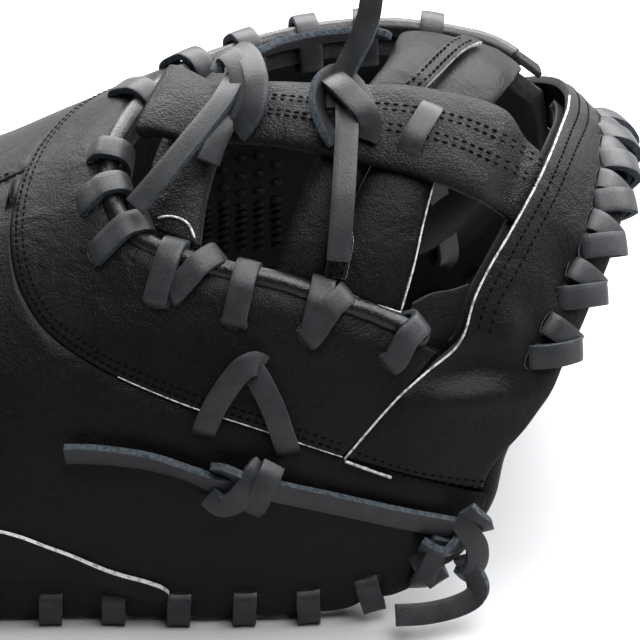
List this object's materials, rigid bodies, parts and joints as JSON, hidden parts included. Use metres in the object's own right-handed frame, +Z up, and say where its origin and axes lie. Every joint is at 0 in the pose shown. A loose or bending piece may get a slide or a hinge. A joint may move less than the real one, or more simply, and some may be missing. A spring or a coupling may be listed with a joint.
{
  "type": "first baseman's mitt",
  "caption": "Black leather first baseman's mitt lying palm down, with a scooped pocket, single-post web, rawhide lacing and wrist strap.",
  "frame": {"origin": "middle of the underside: the centre of the bounding box in X and Y, on the surface that the mitt lies on", "axes": "+X from the wrist towards the top of the web, +Y towards the little finger, +Z up out of the back of the hand; the thumb is on the -Y side"},
  "size_m": [0.3104, 0.167, 0.1643],
  "materials": {
    "shell_leather": "grained black cowhide with a soft sheen and pale cut edges",
    "palm_leather": "smooth dark palm leather, matte",
    "rawhide_lace": "dyed rawhide lace, slightly glossy and bluish grey"
  },
  "bodies": {
    "root": {"thumb_shell": "shell_leather", "hand_back": "shell_leather", "index_middle_shell": "shell_leather", "ring_little_shell": "shell_leather", "crotch_panel": "shell_leather", "web_cap": "shell_leather", "web_roll": "shell_leather", "web_post": "shell_leather", "narrow_bar": "shell_leather", "wide_bar_left": "shell_leather", "wide_bar_right": "shell_leather", "wrist_strap": "shell_leather", "heel_wing": "shell_leather", "palm_thumb": "palm_leather", "palm_heel": "palm_leather", "palm_finger": "palm_leather", "cap_lining": "palm_leather", "thumb_rim_lace": "rawhide_lace", "cap_lace": "rawhide_lace", "finger_rim_lace": "rawhide_lace", "web_lace_thumb": "rawhide_lace", "web_lace_crotch": "rawhide_lace", "web_lace_finger": "rawhide_lace", "cross_lace": "rawhide_lace", "vee_lace": "rawhide_lace", "long_lace": "rawhide_lace", "first_knot": "rawhide_lace", "second_knot": "rawhide_lace", "far_strand": "rawhide_lace", "tip_knot": "rawhide_lace", "wall_lace": "rawhide_lace"}
  },
  "joints": []
}
